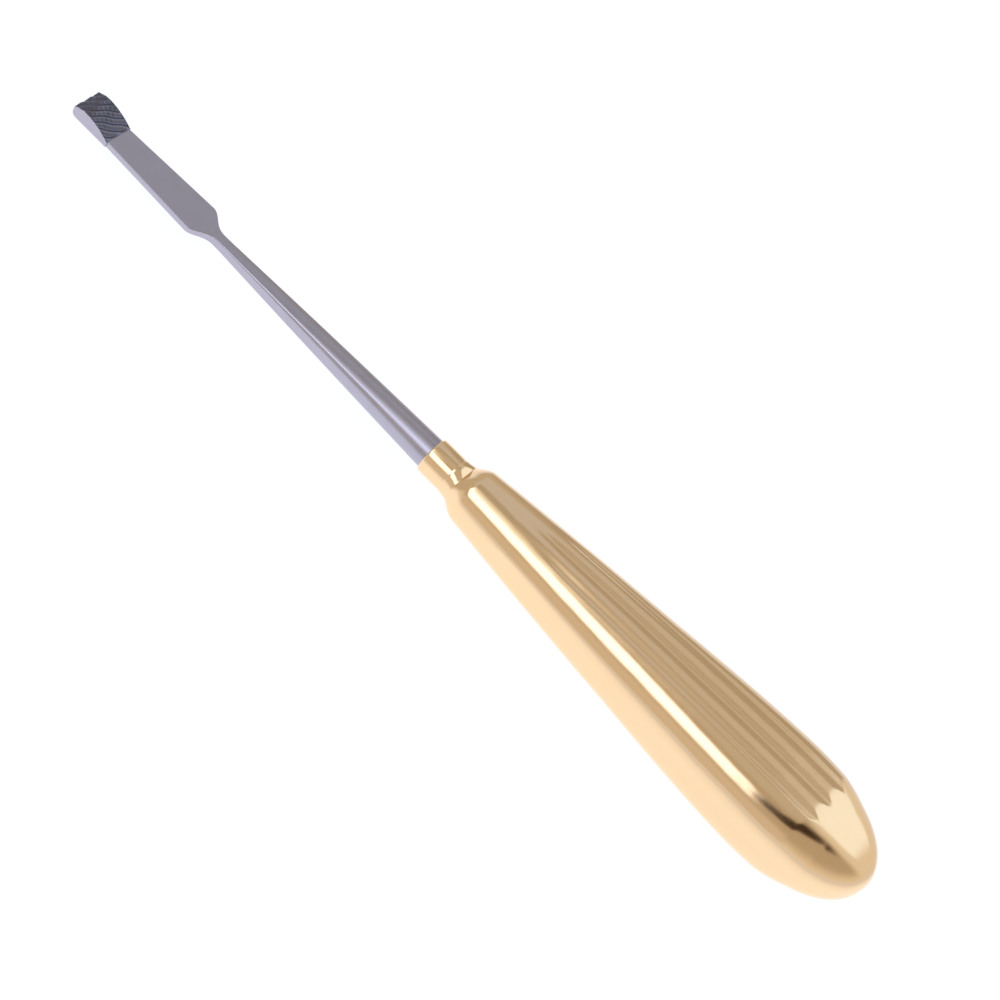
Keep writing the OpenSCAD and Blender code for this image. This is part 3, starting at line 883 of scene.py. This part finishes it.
class BONEFILE_OT_handle(bpy.types.Operator):
    """Builds the gilt handle with its collar in the place of the handle's solid"""

    bl_idname = "bonefile.handle"
    bl_label = "Build the handle"

    def execute(self, context):
        scene = context.scene
        h, s = scene.bonefile_handle, scene.bonefile_steel
        rings, first, last, fluted = handle_rings(h, s)
        turn, shift = rest_turn(h, s)
        rings, first, last = at_rest(turn, shift, rings, first, last)
        piece = closed_tube("gilt_handle", rings, first, last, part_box("handle"), math.radians(50))
        point_attribute(piece, "fluted", np.concatenate([fluted.ravel(), [0, 0]]))
        piece.data.materials.append(gold_material(scene.bonefile_finish, math.asin(turn[2, 0])))
        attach(piece, "root")
        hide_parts("handle")
        return {"FINISHED"}


class BONEFILE_OT_steel(bpy.types.Operator):
    """Builds the toothed head, blade, shaft and tang in the place of the shaft's solid"""

    bl_idname = "bonefile.steel"
    bl_label = "Build the file and its shaft"

    def execute(self, context):
        scene = context.scene
        h, s = scene.bonefile_handle, scene.bonefile_steel
        rings, first, last, height, face = steel_rings(h, s)
        turn, shift = rest_turn(h, s)
        rings, first, last = at_rest(turn, shift, rings, first, last)
        piece = closed_tube("toothed_file", rings, first, last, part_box("file_shaft"), math.radians(38))
        point_attribute(piece, "tooth_height", np.concatenate([height.ravel(), [1, 1]]))
        point_attribute(piece, "toothed_face", np.concatenate([face.ravel(), [0, 0]]))
        piece.data.materials.append(steel_material(scene.bonefile_finish, math.asin(turn[2, 0])))
        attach(piece, "root")
        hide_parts("file_shaft")
        return {"FINISHED"}


class BONEFILE_OT_studio(bpy.types.Operator):
    """Sets the white floor, the light tent, the world and the camera"""

    bl_idname = "bonefile.studio"
    bl_label = "Set the studio"

    def execute(self, context):
        scene = context.scene
        floor = paper_floor()
        tent = light_tent(scene.bonefile_studio)
        scene.world = studio_world()
        turn, shift = rest_turn(scene.bonefile_handle, scene.bonefile_steel)
        scene.camera = studio_camera(scene.bonefile_studio, turn, shift)
        scene.view_settings.view_transform = "Standard"
        return {"FINISHED"}


class BONEFILE_PT_panel(bpy.types.Panel):
    """Lists the sizes, finishes and studio settings with a button for each piece"""

    bl_label = "Bone file"
    bl_idname = "BONEFILE_PT_panel"
    bl_space_type = "VIEW_3D"
    bl_region_type = "UI"
    bl_category = "Bone file"

    def draw(self, context):
        for operator, groups in STEPS.items():
            box = self.layout.box()
            box.operator(operator)
            for name in groups:
                for key in GROUPS[name].__annotations__:
                    box.prop(getattr(context.scene, name), key)


STEPS = {
    "bonefile.handle": ["bonefile_handle"],
    "bonefile.steel": ["bonefile_steel", "bonefile_finish"],
    "bonefile.studio": ["bonefile_studio"],
}
GROUPS = {
    "bonefile_handle": BONEFILE_PG_handle,
    "bonefile_steel": BONEFILE_PG_steel,
    "bonefile_finish": BONEFILE_PG_finish,
    "bonefile_studio": BONEFILE_PG_studio,
}
CLASSES = [*GROUPS.values(), BONEFILE_OT_handle, BONEFILE_OT_steel, BONEFILE_OT_studio, BONEFILE_PT_panel]


def register():
    """Adds the classes and gives the scene its groups of settings."""
    for item in CLASSES:
        bpy.utils.register_class(item)
    for name, group in GROUPS.items():
        setattr(bpy.types.Scene, name, PointerProperty(type=group))


def unregister():
    """Takes the groups of settings and the classes away again."""
    for name in GROUPS:
        delattr(bpy.types.Scene, name)
    for item in reversed(CLASSES):
        bpy.utils.unregister_class(item)


def main():
    """Registers the classes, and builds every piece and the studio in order."""
    register()
    bpy.ops.bonefile.handle()
    bpy.ops.bonefile.steel()
    bpy.ops.bonefile.studio()
    bpy.context.view_layer.update()


if __name__ == "__main__":
    main()
